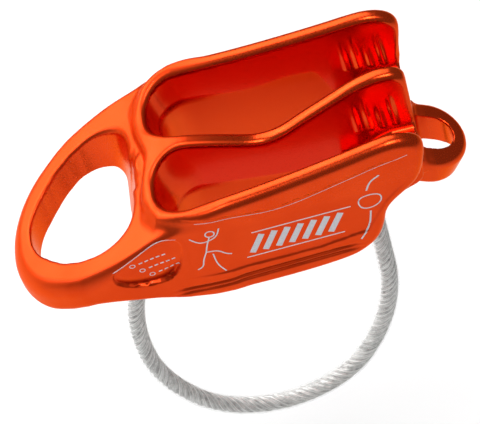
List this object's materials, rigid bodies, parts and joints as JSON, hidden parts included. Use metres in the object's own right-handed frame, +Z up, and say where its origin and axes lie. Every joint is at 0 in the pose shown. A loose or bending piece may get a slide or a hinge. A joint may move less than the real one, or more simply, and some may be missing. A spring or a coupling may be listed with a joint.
{
  "type": "rope descender",
  "caption": "Tube-style belay and rappel device with twin rope slots, a large anchor eye, a small release eye and a sleeved wire keeper loop.",
  "frame": {"origin": "centre of the large anchor eye, half way through its height", "axes": "+X from the anchor eye to the small release eye, +Y across the two rope slots, +Z up through the slots with the keeper loop hanging towards -Z"},
  "size_m": [0.0912, 0.038, 0.1066],
  "materials": {
    "anodised": "orange-red anodising over a tumbled forging, polished inside the slots",
    "wire": "bare stranded wire",
    "swage": "swaged",
    "sleeve": "clear extruded sleeve"
  },
  "bodies": {
    "frame": {"body": "anodised", "ferrule_anchor": "swage", "ferrule_release": "swage"},
    "keeper": {"keeper_rope": "wire", "keeper_sleeve": "sleeve"}
  },
  "joints": [
    {"name": "keeper_flex", "type": "hinge", "parent": "frame", "child": "keeper", "pos_m": [0.01065, 0, -0.0037], "axis": [0.9986, 0, -0.0533], "range_deg": [-20, 20], "stiffness_Nm_per_rad": 0.4}
  ]
}
